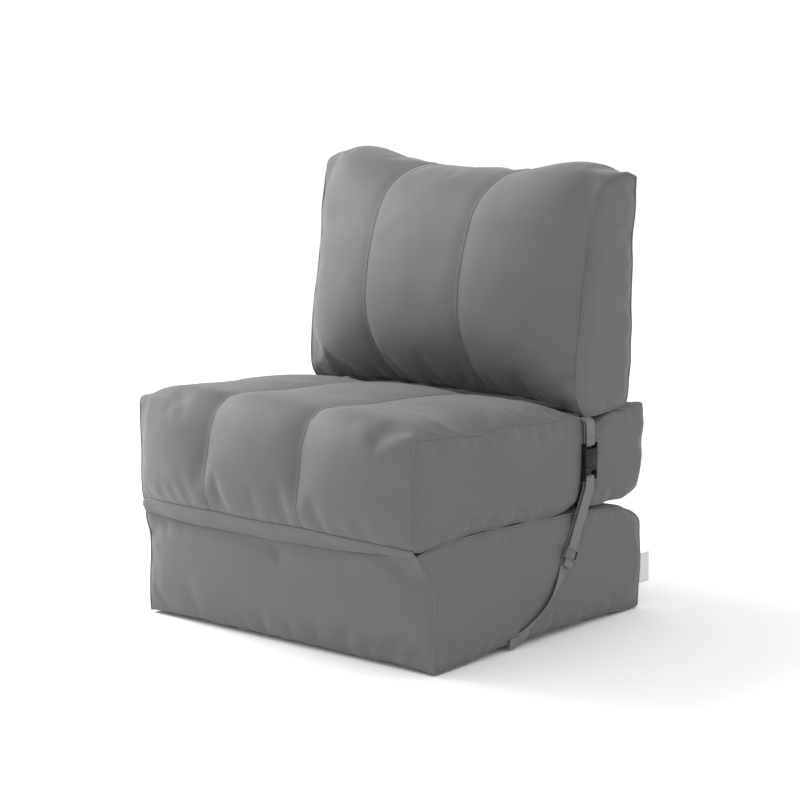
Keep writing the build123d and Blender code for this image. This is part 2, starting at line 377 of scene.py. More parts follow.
def normals_of(mesh):
    """The direction of each point's surface, as one row each."""
    normals = np.zeros(len(mesh.vertices) * 3, np.float32)
    mesh.vertices.foreach_get("normal", normals)
    return normals.reshape(-1, 3).astype(float)


def ramp(values, start, end):
    """0 up to a start, 1 from an end on, and an even rise between them."""
    return np.clip((values - start) / (end - start), 0, 1)


def set_positions(mesh, points):
    """Puts every point of a mesh in its new place."""
    mesh.vertices.foreach_set("co", points.astype(np.float32).ravel())
    mesh.update()


# %% [markdown]
# ## Node trees for what repeats
# Three things on the chair repeat or follow a line: the narrow welt in each seam, the rows of
# stitches beside it, and the zips' teeth. Each is a Geometry Nodes tree with named inputs. The line
# is a plain string of edges, the result is made real and given its material, and the tree is then
# turned into an ordinary mesh, so that it moves with its cushion.

# %% Geometry Nodes trees
CORD_SIDES = 8


def new_tree(name, sizes):
    """An empty tree with a line in, a mesh out, a material and the named sizes."""
    tree = bpy.data.node_groups.new(name, "GeometryNodeTree")
    tree.interface.new_socket("Line", in_out="INPUT", socket_type="NodeSocketGeometry")
    for size in sizes:
        tree.interface.new_socket(size, in_out="INPUT", socket_type="NodeSocketFloat")
    tree.interface.new_socket("Finish", in_out="INPUT", socket_type="NodeSocketMaterial")
    tree.interface.new_socket("Mesh", in_out="OUTPUT", socket_type="NodeSocketGeometry")
    graph = Graph(tree)
    entry = graph.node("NodeGroupInput")
    curve = graph.node("GeometryNodeMeshToCurve", {}, Mesh=graph.out(entry, "Line"))
    return graph, entry, graph.out(curve, "Curve")


def end_tree(graph, entry, shape):
    """Makes instances real, sets the material and closes the tree."""
    real = graph.node("GeometryNodeRealizeInstances", {}, Geometry=shape)
    shaded = graph.node("GeometryNodeSetShadeSmooth", {}, Geometry=graph.out(real, "Geometry"))
    shaded, finish = graph.out(shaded, "Geometry"), graph.out(entry, "Finish")
    dressed = graph.node("GeometryNodeSetMaterial", {}, Geometry=shaded, Material=finish)
    graph.node("NodeGroupOutput", {}, Mesh=graph.out(dressed, "Geometry"))
    return graph.tree


def welt_tree():
    """A round cord of cloth that follows the line."""
    graph, entry, curve = new_tree("welt", ["Radius"])
    radius = graph.out(entry, "Radius")
    ring = graph.node("GeometryNodeCurvePrimitiveCircle", {}, Resolution=CORD_SIDES, Radius=radius)
    ring = graph.out(ring, "Curve")
    sweep = graph.node("GeometryNodeCurveToMesh", {}, Curve=curve, Profile_Curve=ring)
    sweep.inputs["Fill Caps"].default_value = True
    return end_tree(graph, entry, graph.out(sweep, "Mesh"))


def row_tree(name, solid, options, sockets):
    """A row of one small solid, turned along the line and stretched to its length and thickness."""
    graph, entry, curve = new_tree(name, ["Pitch", "Length", "Thickness"])
    pitch = graph.out(entry, "Pitch")
    spots = graph.node("GeometryNodeCurveToPoints", {"mode": "LENGTH"}, Curve=curve, Length=pitch)
    shape = graph.node(solid, options, **sockets)
    thick = graph.out(entry, "Thickness")
    size = graph.node("ShaderNodeCombineXYZ", {}, X=thick, Y=thick, Z=graph.out(entry, "Length"))
    row = graph.node(
        "GeometryNodeInstanceOnPoints",
        {},
        Points=graph.out(spots, "Points"),
        Instance=graph.out(shape, "Mesh"),
        Rotation=graph.out(spots, "Rotation"),
        Scale=graph.out(size, "Vector"),
    )
    return end_tree(graph, entry, graph.out(row, "Instances"))


WELT = welt_tree()
BEAD = {"Segments": 6, "Rings": 4, "Radius": 0.5}
STITCHES = row_tree("stitches", "GeometryNodeMeshUVSphere", {}, BEAD)
TEETH = row_tree("zip_teeth", "GeometryNodeMeshCube", {}, {"Size": (1, 1, 1)})


def along(tree, name, lines, sizes, material):
    """Runs a tree over some lines, each given as points and whether it closes, and keeps the mesh."""
    points, edges = [], []
    for line, closed in lines:
        first = len(points)
        points += [tuple(point) for point in line]
        edges += [(first + i, first + i + 1) for i in range(len(line) - 1)]
        if closed:
            edges.append((len(points) - 1, first))
    mesh = bpy.data.meshes.new(name)
    mesh.from_pydata(points, edges, [])
    guide = bpy.data.objects.new(name + "_guide", mesh)
    bpy.context.collection.objects.link(guide)
    modifier = guide.modifiers.new("nodes", "NODES")
    modifier.node_group = tree
    for item in tree.interface.items_tree:
        if item.in_out == "INPUT" and item.name in sizes:
            modifier[item.identifier] = sizes[item.name]
        if item.in_out == "INPUT" and item.name == "Finish":
            modifier[item.identifier] = material
    result = bpy.data.objects.new(name, evaluated(guide, name))
    bpy.context.collection.objects.link(result)
    guide.modifiers.remove(modifier)
    bpy.data.objects.remove(guide)
    return result


def joined(name, things):
    """Several objects as one piece."""
    target = things[0]
    if len(things) > 1:
        with bpy.context.temp_override(active_object=target, selected_editable_objects=things):
            bpy.ops.object.join()
    target.name = name
    target.data.name = name
    return target


print("trees", WELT.name, STITCHES.name, TEETH.name)

# %% [markdown]
# ## Filled cushions
# Each cushion is sewn from two side panels and a long band that wraps round front, top, rear and
# underside. Its shape is written as two outlines seen from the side: one at the side seams, where the
# cloth is pulled in, and one in the middle, where the filling pushes it out. The cloth between them is
# a lattice of equal cells that follows the weave. The seat and the backrest are also sewn through in
# two channels, which leave three lobes.
#
# A lattice, rather than a voxel remesh, keeps every seam on its own row of points. The rows along the
# seams are pinned, a few percent of spare cloth is added, and air pressure fills the cushion in a
# cloth simulation. The spare cloth then gathers at the seams by itself, as it does on the real chair.

# %% A cushion's lattice
HALF_WIDTH = 347
SEAM_WANDER = 5
CELLS_ACROSS = 54
CHANNELS = (CELLS_ACROSS // 3, 2 * CELLS_ACROSS // 3)
SIDE_BULGE = 7
NO_HORNS = [(0, 0), (4, 0)]


def outline(edges, counts):
    """Front, top, rear and bottom edges as one closed loop of points."""
    rows = []
    for name, count in zip(("front", "top", "rear", "bottom"), counts):
        rows.append(smooth_line(edges[name], count)[:-1])
    return np.concatenate(rows)


def outward(loop):
    """Unit directions that point out of a closed loop that runs up the front and back over the top."""
    along_loop = np.roll(loop, -2, axis=0) - np.roll(loop, 2, axis=0)
    normal = np.stack([-along_loop[:, 1], along_loop[:, 0]], 1)
    for _ in range(6):
        normal = (np.roll(normal, 1, axis=0) + normal + np.roll(normal, -1, axis=0)) / 3
    return normal / np.linalg.norm(normal, axis=1)[:, None]


def wander(rows, way):
    """How far a side seam strays from its outline at each of its points."""
    turn = np.arange(rows) / rows * 2 * math.pi
    spots = [Vector((3 * math.cos(a), 3 * math.sin(a), way * 9.1)) for a in turn]
    return np.array([SEAM_WANDER * noise.noise(spot) for spot in spots])


def hump(value, middle, width):
    """A smooth bump that is 1 at its middle."""
    return math.exp(-(((value - middle) / width) ** 2))


def lobe_shape(across):
    """Height of the lobes across the chair, from 0 in a channel to 1 at a crown."""
    local = (across + 1) * 1.5 % 1 * 2 - 1
    return 1 - abs(local) ** 2.2


def lattice(recipe):
    """Points and faces of a cushion with `high` cells up the front and `deep` cells front to rear."""
    high, deep = recipe["high"], recipe["deep"]
    overhang = recipe.get("overhang", 0)
    counts = (high, deep, high, deep)
    seam, belly = outline(recipe["side"], counts), outline(recipe["middle"], counts)
    normal = outward(belly)
    rows = len(seam)
    stage = np.concatenate([np.arange(count) / count + face for face, count in enumerate(counts)])
    lobe = np.interp(stage, *zip(*recipe["lobes"]))
    horn = np.interp(stage, *zip(*recipe.get("horns", NO_HORNS)))
    full = np.interp(stage, *zip(*recipe["fullness"]))
    shoulder = np.interp(stage, (0.85, 1, 2, 2.15), (0, 1, 1, 0))
    groove = recipe["groove"] * lobe / max(lobe.max(), 1)
    seams = {way: seam + outward(seam) * wander(rows, way)[:, None] for way in (-1, 1)}
    points = []
    for column in range(CELLS_ACROSS + 1):
        across = 2 * column / CELLS_ACROSS - 1
        seam = seams[-1 if across < 0 else 1]
        swell = (1 - abs(across) ** full)[:, None]
        line = seam * (1 - swell) + belly * swell
        outer = hump(abs(across), 0.79, 0.22) * (1 - abs(across) ** 14)
        line = line + normal * (lobe * lobe_shape(across) + horn * outer)[:, None]
        if column in CHANNELS:
            line = line - normal * groove[:, None]
        beyond = shoulder * hump(abs(across), 0.96, 0.05) * (abs(across) < 1)
        wide = across * HALF_WIDTH + math.copysign(overhang, across) * beyond
        points.append(np.column_stack([wide, line]))
    points = np.concatenate(points)
    faces = []
    for column in range(CELLS_ACROSS):
        for row in range(rows):
            after = (row + 1) % rows
            here, there = column * rows, (column + 1) * rows
            faces.append((here + row, there + row, there + after, here + after))
    for end, column in ((-1, 0), (1, CELLS_ACROSS)):
        points, extra = side_panel(points, seams[end], column * rows, end, high, deep)
        faces += extra
    return points, faces, rows


def side_panel(points, seam, first, end, high, deep):
    """Fills one side with a panel that blends its four edges and bulges a little outwards."""
    rows = len(seam)
    bottom = np.array([(2 * high + deep + deep - i) % rows for i in range(deep + 1)])
    top = np.array([high + i for i in range(deep + 1)])
    front = np.arange(high + 1)
    rear = np.array([2 * high + deep - j for j in range(high + 1)])
    index = np.zeros((deep + 1, high + 1), int)
    index[:, 0], index[:, -1], index[0, :], index[-1, :] = bottom, top, front, rear
    index += first
    added = []
    for i in range(1, deep):
        for j in range(1, high):
            a, b = i / deep, j / high
            upright = seam[bottom[i]] * (1 - b) + seam[top[i]] * b
            level = seam[front[j]] * (1 - a) + seam[rear[j]] * a
            low = seam[front[0]] * (1 - a) + seam[rear[0]] * a
            tall = seam[front[-1]] * (1 - a) + seam[rear[-1]] * a
            place = upright + level - low * (1 - b) - tall * b
            puff = SIDE_BULGE * (16 * a * (1 - a) * b * (1 - b)) ** 0.6
            index[i, j] = len(points) + len(added)
            added.append((end * (HALF_WIDTH + puff), place[0], place[1]))
    faces = [
        (index[i, j], index[i + 1, j], index[i + 1, j + 1], index[i, j + 1])
        for i in range(deep)
        for j in range(high)
    ]
    return np.concatenate([points, np.array(added)]), faces


# %% [markdown]
# The four cushions follow, each as its two outlines. Distances are in millimetres behind the base's
# front face, and above the floor. Where a number goes with a place on the loop, 0 is the hem under
# the front, 1 the front's top edge, 2 the rear's top edge and 3 the rear's bottom edge.

# %% Base
BASE = dict(
    side=dict(
        front=[(0, 4), (2, 60), (4, 120), (2, 160), (-26, 193), (-46, 221)],
        top=[(-46, 221), (-20, 225), (60, 230), (150, 231), (250, 230)]
        + [(340, 222), (510, 216), (600, 195), (629, 174)],
        rear=[(629, 174), (632, 130), (632, 60), (629, 3)],
        bottom=[(629, 3), (520, 11), (311, 17), (235, 16), (100, 9), (0, 4)],
    ),
    middle=dict(
        front=[(-2, 11), (-11, 60), (-13, 110), (-18, 160), (-50, 199)],
        top=[(-50, 199), (-10, 220), (100, 230), (250, 229)]
        + [(340, 222), (510, 218), (600, 198), (632, 172)],
        rear=[(632, 172), (641, 130), (641, 60), (634, 9)],
        bottom=[(634, 9), (590, 1), (350, 1), (60, 1), (-2, 11)],
    ),
    high=15,
    deep=44,
    lobes=[(0, 0), (4, 0)],
    fullness=[(0, 4), (4, 4)],
    groove=0,
)

# %% Seat
SEAT = dict(
    side=dict(
        front=[(-50, 228), (-52, 300), (-52, 380), (-51, 425)],
        top=[(-51, 425), (20, 414), (95, 409), (223, 409), (342, 403), (438, 394)],
        rear=[(438, 394), (448, 380), (446, 330), (436, 280), (418, 244)],
        bottom=[(418, 244), (371, 227), (330, 226), (247, 234), (153, 237), (39, 231), (-50, 228)],
    ),
    middle=dict(
        front=[(-78, 243), (-88, 270), (-91, 330), (-90, 392), (-70, 425)],
        top=[(-70, 425), (-44, 440), (0, 436), (100, 429)]
        + [(223, 427), (342, 419), (400, 410), (436, 398)],
        rear=[(436, 398), (447, 385), (447, 330), (445, 280), (430, 240)],
        bottom=[(430, 240), (380, 224), (250, 230), (100, 231), (0, 225), (-40, 226), (-78, 243)],
    ),
    high=15,
    deep=36,
    lobes=[(0, 2), (0.12, 6), (0.4, 9), (1, 12), (1.6, 11)]
    + [(1.9, 7), (2, 2), (2.1, 0), (3.95, 0), (4, 2)],
    fullness=[(0, 3.2), (2, 3.2), (2.2, 5), (3.8, 5), (4, 3.2)],
    groove=2,
)

# %% Bolster
BOLSTER = dict(
    side=dict(
        front=[(451, 232), (454, 300), (460, 350), (470, 374)],
        top=[(470, 374), (500, 391), (580, 391), (612, 402), (634, 400)],
        rear=[(634, 400), (641, 380), (634, 300), (632, 262), (622, 240)],
        bottom=[(622, 240), (590, 226), (480, 224), (451, 232)],
    ),
    middle=dict(
        front=[(451, 230), (451, 300), (455, 350), (466, 376)],
        top=[(466, 376), (500, 393), (580, 393), (612, 402), (636, 394)],
        rear=[(636, 394), (646, 350), (640, 280), (626, 240)],
        bottom=[(626, 240), (590, 223), (480, 223), (451, 230)],
    ),
    high=13,
    deep=14,
    lobes=[(0, 0), (4, 0)],
    fullness=[(0, 5), (4, 5)],
    groove=0,
)

# %% Backrest
BACKREST = dict(
    side=dict(
        front=[(441, 397), (416, 428), (411, 460), (417, 510), (430, 600)]
        + [(445, 681), (461, 753), (482, 803), (493, 820)],
        top=[(493, 820), (520, 832), (560, 837), (600, 829)],
        rear=[(600, 829), (598, 780), (592, 740), (589, 671), (592, 557), (586, 463), (582, 408)],
        bottom=[(582, 408), (540, 402), (490, 398), (441, 397)],
    ),
    middle=dict(
        front=[(450, 428), (408, 450), (374, 500), (358, 560), (362, 640)]
        + [(388, 730), (430, 795), (470, 828), (500, 838)],
        top=[(500, 838), (530, 842), (570, 842), (604, 832)],
        rear=[(604, 832), (612, 805), (612, 740), (608, 640), (602, 500), (590, 420)],
        bottom=[(590, 420), (540, 412), (490, 414), (450, 428)],
    ),
    high=36,
    deep=9,
    lobes=[(0, 2), (0.08, 4), (0.3, 6), (0.85, 6), (1, 4)]
    + [(1.3, 3), (1.7, 2), (2, 0), (3.9, 0), (4, 2)],
    overhang=20,
    horns=[(0, 0), (0.72, 0), (0.95, 11), (1.1, 13), (1.8, 13), (2.05, 9), (2.3, 0), (4, 0)],
    fullness=[(0, 3.2), (0.7, 3.2), (1, 7), (2, 7), (2.3, 5), (3.8, 5), (4, 3.2)],
    groove=2,
)

# %% [markdown]
# The filling has settled unevenly. The seat and the backrest are a little narrower on the chair's
# left than on its right, and their left front corners sit further back. The backrest's left top
# corner keeps its full width, and stands up like an ear.

# %% Settling
LEFT_SHIFT = {"base": (0, 34, -20), "seat": (12, 24, 0), "backrest": (25, 22, 16)}


def settled(name, points):
    """Moves a cushion's left side by some millimetres inwards, back and up."""
    if name not in LEFT_SHIFT:
        return points
    x, y, z = points.T.copy()
    left = ramp(-x, 0, HALF_WIDTH) ** 1.4
    if name == "base":
        left = left * ramp(z, 130, 210) ** 2 * ramp(y, 120, -20)
    if name == "seat":
        left = left * ramp(y, 440, -50)
    high, ear = 1, 0
    if name == "backrest":
        high = ramp(z, 640, 840)
        ear = high**1.5
    across, back, up = LEFT_SHIFT[name]
    return points + np.column_stack([across * left * (1 - ear), back * left, up * left * high])


# %% [markdown]
# ## Pinning the seams and filling the cushions
# `dress` turns a recipe into an object and writes down where its seams run, as lists of point
# numbers. The two side seams close on themselves. The cross seams run from side to side: the hem
# under the front, and the seams at the rear top and bottom edges. The channels run from the hem, up
# the front and over the top. The side and cross seams are pinned while the cushion fills, and the
# channels move with the cloth.

# %% Lattice objects with their seams
SIDE_CREASE = 0.75
CROSS_CREASE = 0.35
FOLDS = {}


def dress(name, recipe, channels_to):
    """A cushion's lattice object and its seams: side loops, cross seams and channels."""
    points, faces, rows = lattice(recipe)
    points = settled(name.split("_")[0], points)
    thing = piece(name, metres(points), faces, cloth)
    high, deep = recipe["high"], recipe["deep"]

    def across_row(row):
        return [column * rows + row for column in range(CELLS_ACROSS + 1)]

    def up_column(column, count):
        return [column * rows + row for row in range(count)]

    sides = [up_column(column, rows) for column in (0, CELLS_ACROSS)]
    crossing = [across_row(row) for row in (0, high + deep, 2 * high + deep)]
    last = int(high + deep * channels_to)
    channels = [up_column(column, last + 1) for column in CHANNELS] if channels_to else []
    seams = dict(sides=sides, crossing=crossing, channels=channels)
    FOLDS[name] = across_row(high)
    pinned = thing.vertex_groups.new(name="seams")
    numbers = {number for family in (sides, crossing) for line in family for number in line}
    pinned.add(sorted(numbers), 1.0, "REPLACE")
    sharpen(thing, sides, SIDE_CREASE)
    sharpen(thing, crossing, CROSS_CREASE)
    return thing, seams


def sharpen(thing, lines, amount):
    """Keeps subdivision from rounding a seam away."""
    layers = thing.data.attributes
    crease = layers.get("crease_edge") or layers.new("crease_edge", "FLOAT", "EDGE")
    wanted = {frozenset(pair) for line in lines for pair in zip(line, line[1:] + line[:1])}
    for edge in thing.data.edges:
        if frozenset(edge.vertices) in wanted:
            crease.data[edge.index].value = amount


covers = {
    "base": dress("base_cushion", BASE, 0),
    "seat": dress("seat_cushion", SEAT, 1),
    "bolster": dress("bolster_cushion", BOLSTER, 0),
    "backrest": dress("backrest_cushion", BACKREST, 0.8),
}
print("lattice points", {name: len(thing.data.vertices) for name, (thing, _) in covers.items()})

# %% [markdown]
# A short run of frames is enough for the spare cloth to fill and gather. What counts is the shape of
# the gathers and not how far the cushion swells, so no point is kept more than a centimetre or so
# from its place on the lattice.

# %% Cloth simulation
PRESSURE = 4
SPARE_CLOTH = 0.035
LAST_FRAME = 18
MOST_MOVE = 0.011


def fill_with_air(things):
    """Adds a cloth simulation to each cushion, runs them together and keeps the filled shapes."""
    start = {name: positions(thing.data) for name, thing in things.items()}
    for name, thing in things.items():
        modifier = thing.modifiers.new("filling", "CLOTH")
        settings = modifier.settings
        settings.quality = 5
        settings.mass = 0.2
        settings.tension_stiffness = 12
        settings.compression_stiffness = 12
        settings.shear_stiffness = 4
        settings.bending_stiffness = 0.6
        settings.use_pressure = True
        settings.uniform_pressure_force = PRESSURE
        settings.effector_weights.gravity = 0
        settings.vertex_group_mass = "seams"
        settings.shrink_min = -SPARE_CLOTH
        modifier.point_cache.frame_end = LAST_FRAME
        modifier.collision_settings.use_collision = False
    scene = bpy.context.scene
    for step in range(1, LAST_FRAME + 1):
        scene.frame_set(step)
    for name, thing in things.items():
        moved = positions(evaluated(thing, name + "_filled")) - start[name]
        far = np.linalg.norm(moved, axis=1)[:, None] + 1e-9
        set_positions(thing.data, start[name] + moved / far * MOST_MOVE * np.tanh(far / MOST_MOVE))
        thing.modifiers.clear()
        print("filled", name, "furthest move", round(float(far.max()) * 1000, 1), "mm")
    scene.frame_set(1)


fill_with_air({name: thing for name, (thing, _) in covers.items()})

# %% [markdown]
# ## Puckers and soft folds
# Where thread pulls cloth together, the cloth ripples: small puckers that stand at right angles to
# the seam and die away within a few centimetres. Each point of the cushion finds its nearest seam
# point; how far along the seam that lies decides the ripple, and the distance decides its height.
# A slower, wider unevenness goes over the whole cushion, because the filling is never level. Each
# kind of seam has its ripples' height, their reach and how many there are to a metre.
#
# The same step keeps each cushion on its own side of the floor and of its neighbours, and lays the
# rear face against the zip's tapes. A limit is an axis (1 runs back, 2 runs up), a place on it in
# metres, and which side of it the points are kept on.

# %% Puckers
PUCKER = {
    "sides": (0.0010, 0.020, 70),
    "crossing": (0.0010, 0.024, 60),
    "channels": (0.0004, 0.014, 60),
}
SEAM_FLAT = 0.004
SOFT_FOLD = 0.0016
FOLD_REACH = 0.05
LIMITS = {
    "base": [(2, 0.0006, np.maximum)],
    "seat": [(1, 0.1640, np.minimum)],
    "bolster": [(2, 0.2225, np.maximum), (1, 0.1655, np.maximum)],
    "backrest": [(2, 0.3955, np.maximum)],
}
SEAT_LINE = [(-60, 223), (-20, 226), (60, 231), (250, 231.5), (340, 224), (450, 221.5)]
BACK_LINE = [(586, 395), (612, 408)]
CLEAR = 0.0005
WIDEST = 0.3555


def limited(name, points):
    """Keeps a cushion on its own side of the floor and of its neighbours."""
    for axis, value, keep in LIMITS[name]:
        points[:, axis] = keep(points[:, axis], value)
    depth = points[:, 1] * 1000 + CENTRE_Y
    meeting = np.interp(depth, *zip(*SEAT_LINE)) / 1000
    if name == "base":
        points[:, 2] = np.minimum(points[:, 2], meeting - CLEAR)
    if name == "seat":
        points[:, 2] = np.maximum(points[:, 2], meeting + CLEAR)
    if name == "bolster":
        under_back = np.interp(depth, *zip(*BACK_LINE)) / 1000
        points[:, 2] = np.minimum(points[:, 2], under_back)
    points[:, 0] = np.clip(points[:, 0], -WIDEST, WIDEST)
    return points


ZIP_HALF = 0.300
TAPES_HALF = 0.011
ZIP_FADE = 0.030
ZIP_THICK = 0.0016
ZIP_SUNK = 0.0003


def fade(distance, edge):
    """1 inside an edge, falling smoothly to 0 over the fade beyond it."""
    part = ramp(distance, edge, edge + ZIP_FADE)
    return 1 - part * part * (3 - 2 * part)


def bedded(name, points, normals):
    """Brings the rear face to the zip's tapes, so that the zip lies in the cloth."""
    low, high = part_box(name + "_zip_tape")
    middle = (low + high) / 2
    lean = (high.y - low.y - ZIP_THICK) / (high.z - low.z)
    bed = low.y - ZIP_SUNK + (points[:, 2] - low.z) * max(lean, 0)
    rear = (normals[:, 1] > 0.6) & (points[:, 1] > bed - 0.03)
    level = fade(np.abs(points[:, 0]), ZIP_HALF)
    upright = fade(np.abs(points[:, 2] - middle.z), TAPES_HALF)
    points[:, 1] += (bed - points[:, 1]) * level * upright * rear
    return points


def pucker(name, thing, seams):
    """Subdivides a cushion once, then ripples the finer mesh beside its seams."""
    coarse = thing.modifiers.new("finer", "SUBSURF")
    coarse.levels = coarse.render_levels = 1
    mesh = evaluated(thing, thing.name)
    thing.modifiers.clear()
    thing.data = mesh
    points, normals = positions(mesh), normals_of(mesh)
    ripple = np.zeros(len(points))
    nearest_seam = np.full(len(points), 1.0)
    for family, lines in seams.items():
        height, reach, pitch = PUCKER[family]
        for number, line in enumerate(lines):
            closed = line + line[:1] if family == "sides" else line
            path = smooth_line(points[closed], len(line) * 5, 1)
            tree = kdtree.KDTree(len(path))
            for i, point in enumerate(path):
                tree.insert(point, i)
            tree.balance()
            step = np.linalg.norm(path[1] - path[0])
            for i, point in enumerate(points):
                _, spot, away = tree.find(point)
                nearest_seam[i] = min(nearest_seam[i], away)
                if away < 3 * reach:
                    wave = noise.noise(Vector((spot * step * pitch, number * 7.3, away * 12)))
                    near = hump(away, 0, reach) * min(1, away / SEAM_FLAT)
                    ripple[i] += height * wave * 2 * near
    places = [Vector(point) for point in points]
    fold = np.array([noise.noise(v * 11) + 0.5 * noise.noise(v * 24) for v in places])
    ripple += SOFT_FOLD * fold * np.minimum(1, nearest_seam / FOLD_REACH)
    rippled = limited(name, points + normals * ripple[:, None])
    set_positions(mesh, bedded(name, rippled, normals))
    last = thing.modifiers.new("smooth", "SUBSURF")
    last.levels = last.render_levels = 1
    return thing


for name, (thing, seams) in covers.items():
    pucker(name, thing, seams)
    print("puckered", name, len(thing.data.vertices))

# %% [markdown]
# ## Welts and topstitching
# The side panels are set in with a narrow welt: the seam's turned edges, which stand a millimetre or
# two proud. Beside each channel and along the hem runs a line of topstitching. Both follow the
# finished cushion, so their lines are read from its points.

# %% Seam trim
WELT_RADIUS = 0.0021
RIDGE_RADIUS = 0.0011
STITCH = {"Pitch": 0.0042, "Length": 0.0030, "Thickness": 0.0008}


def seam_trim(name, thing, seams, welts):
    """The cushion's welts and stitches as one piece."""
    mesh = evaluated(thing, name)
    points, normals = positions(mesh), normals_of(mesh)
    parts = []
    if welts:
        loops = [smooth_line(points[line + line[:1]], len(line) * 3, 2) for line in seams["sides"]]
        lines = [(loop[:-1], True) for loop in loops]
        parts.append(along(WELT, name + "_welts", lines, {"Radius": WELT_RADIUS}, cloth))
    ridges = [(smooth_line(points[line], len(line) * 3, 2), False) for line in seams["channels"]]
    if ridges:
        parts.append(along(WELT, name + "_ridges", ridges, {"Radius": RIDGE_RADIUS}, cloth))
    rows = []
    for line in seams["channels"] + seams["crossing"][:1]:
        lifted = points[line] + normals[line] * STITCH["Thickness"] / 2
        rows.append((smooth_line(lifted, len(line) * 3, 1), False))
    parts.append(along(STITCHES, name + "_stitches", rows, STITCH, thread.material))
    bpy.data.meshes.remove(mesh)
    trim = joined(name + "_seams", parts)
    return trim


trims = {}
for name, (thing, seams) in covers.items():
    trims[name] = seam_trim(name, thing, seams, welts=name != "bolster")
print("trim", {name: len(trim.data.polygons) for name, trim in trims.items()})

# %% [markdown]
# ## Liners and fillings
# Inside each cover is a plain liner bag, and inside that the shredded foam. They are never seen, but
# they are there when a zip is opened or the chair is cut in half, so each is the same cushion drawn
# in by the thickness of what lies over it.

# %% Liner and filling of each cushion
BODY = {"base": "base", "seat": "seat", "bolster": "base", "backrest": "backrest"}
LINER_IN = 0.005
FILLING_IN = 0.009
LEAST_DEPTH = 0.7


def inner_copy(name, source, depth, material):
    """A copy of a cushion drawn inwards along its normals, and kept that far inside its corners too."""
    copy = bpy.data.objects.new(name, source.data.copy())
    copy.data.materials.clear()
    copy.data.materials.append(material)
    bpy.context.collection.objects.link(copy)
    outer = evaluated(source, name + "_outer")
    faces = [tuple(face.vertices) for face in outer.polygons]
    skin = bvhtree.BVHTree.FromPolygons(positions(outer), faces)
    count = len(copy.data.vertices)
    points = positions(outer)[:count] - normals_of(outer)[:count] * depth
    for i, point in enumerate(points):
        for _ in range(3):
            spot, normal, _, _ = skin.find_nearest(Vector(point))
            inside = (spot - Vector(point)).dot(normal)
            if inside < depth * LEAST_DEPTH:
                point = point - np.array(normal) * (depth - inside)
        points[i] = point
    set_positions(copy.data, points)
    bpy.data.meshes.remove(outer)
    return copy


padded_pieces = {"base": [], "seat": [], "backrest": []}
for name, (thing, _) in covers.items():
    liner = inner_copy(name + "_liner_bag", thing, LINER_IN, lining)
    filling = inner_copy(name + "_foam", thing, FILLING_IN, foam.material)
    slots = ("cover_cloth", "liner_cloth", "foam_filling")
    nodes = ("cover", "liner", "filling")
    for soft, slot, node, fill in zip((thing, liner, filling), slots, nodes, (0.8, 0.7, 0.8)):
        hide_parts(f"{name}_{node}")
        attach(soft, BODY[name])
    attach(trims[name], BODY[name])
    padded_pieces[BODY[name]] += [thing, liner, filling, trims[name]]
print("cushions dressed")

# %% [markdown]
# ## Hinge strips
# The seat hinges to the base on a strip of cover cloth that hangs from the seat's hem like a short
# skirt and is sewn to the base's front edge. It belongs to both, so it bends between them when the
# seat unfolds. The strips behind are narrower: one joins the seat to the backrest, and one holds the
# bolster to the base.

# %% Strips of cloth
STRIP_WALL = 0.0009
SKIRT_OUT = 0.0012
SKIRT_BOW = 0.0035
SKIRT_WAVE = 0.0022


def grid(rows, across):
    """The faces between rows of points."""
    faces = []
    for r in range(rows - 1):
        for c in range(across - 1):
            here, there = r * across + c, (r + 1) * across + c
            faces.append((here, here + 1, there + 1, there))
    return faces


def give_wall(sheet, thickness):
    """Gives a sheet its thickness, half on each side."""
    wall = sheet.modifiers.new("wall", "SOLIDIFY")
    wall.thickness = thickness
    wall.offset = 0


def strip(name, rows):
    """A sheet between rows of points, in metres, that each run across the chair."""
    sheet = piece(name, np.concatenate(rows), grid(len(rows), len(rows[0])), cloth)
    give_wall(sheet, STRIP_WALL)
    return sheet


def straight(y, z, left, right):
    """A straight line across the chair."""
    return metres([(x, y, z) for x in np.linspace(left, right, 2 * CELLS_ACROSS + 1)])


hem = positions(evaluated(covers["seat"][0], "hem"))[covers["seat"][1]["crossing"][0]]
fold = positions(evaluated(covers["base"][0], "fold"))[FOLDS["base_cushion"]]
hem, fold = smooth_line(hem, 2 * CELLS_ACROSS, 1), smooth_line(fold, 2 * CELLS_ACROSS, 1)
skirt_rows = []
for part in np.linspace(0, 1, 7):
    row = hem * (1 - part) + fold * part
    bow = math.sin(math.pi * part)
    loose = np.array([noise.noise(Vector((point[0] * 22, part * 2, 3))) for point in row])
    row[:, 1] -= SKIRT_OUT + (SKIRT_BOW + SKIRT_WAVE * loose) * bow
    skirt_rows.append(row)
skirt = strip("front_skirt", skirt_rows)
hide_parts("front_hinge_strip")
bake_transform(skirt, "seat", "base", start=metres((0, -60, 236)), end=metres((0, -46, 204)))

rear_rows = [straight(436 + 6 * part, 397 + 1.5 * part, -312, 338) for part in range(3)]
rear_strip = strip("rear_strip", rear_rows)
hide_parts("rear_hinge_strip")
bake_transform(rear_strip, "seat", "backrest", start=metres((0, 437, 398)), end=metres((0, 447, 400)))

bolster_rows = [straight(472 + 12 * part, 221.8, -320, 320) for part in range(4)]
bolster_strip = strip("bolster_join", bolster_rows)
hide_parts("bolster_strip")
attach(bolster_strip, "base")
print("strips", skirt.name, rear_strip.name, bolster_strip.name)

# %% [markdown]
# ## Webbing
# A strap is a flat band that keeps its width, so it is modelled directly: a line of points, and at
# each point a direction across the webbing. The outer skin is a flattened tube with rounded edges,
# and its UV map runs evenly along and across it, which keeps the ribs straight round a bend.

